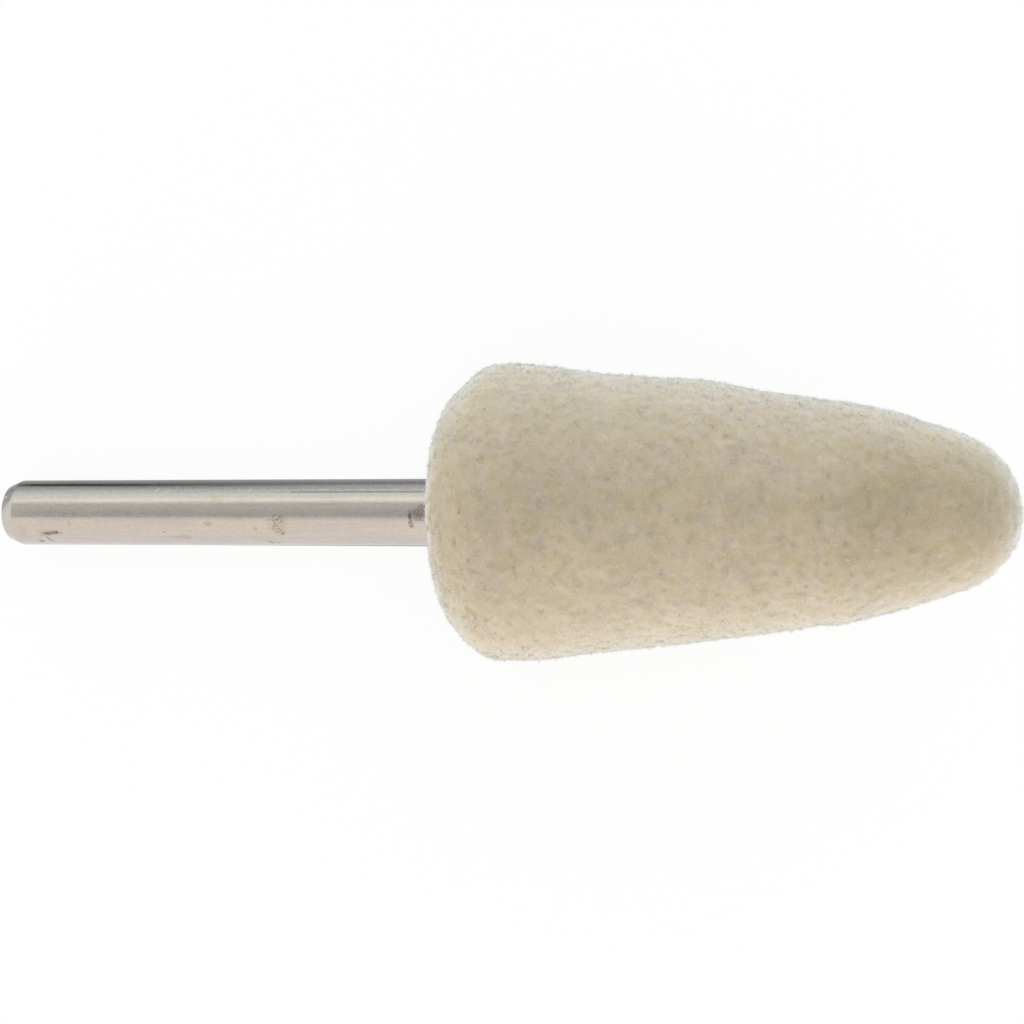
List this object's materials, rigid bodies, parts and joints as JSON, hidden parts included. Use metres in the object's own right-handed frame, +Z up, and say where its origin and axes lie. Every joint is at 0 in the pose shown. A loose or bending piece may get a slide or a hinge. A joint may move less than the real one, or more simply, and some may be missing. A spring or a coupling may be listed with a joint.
{
  "type": "felt polishing cone",
  "caption": "Ball-nosed cone of hard felt cemented on a straight steel shank, for polishing inside curved and tapered surfaces.",
  "frame": {"origin": "centre of the bounding box in X and Y, on the floor that the tool lies on", "axes": "+X from the free end of the shank towards the nose, +Z up; the tool lies at rest on the shank's free end and the felt's rim, so its axis rises about 12 degrees towards the nose in the XZ plane"},
  "size_m": [0.0944, 0.0278, 0.0296],
  "materials": {
    "felt": "hard pressed wool felt, ground to shape, short fuzzy nap",
    "steel": "bright satin, lightly scratched and stained",
    "cement": "dull amber cured cement"
  },
  "bodies": {
    "root": {"felt_body": "felt", "shank": "steel", "cement": "cement"}
  },
  "joints": []
}
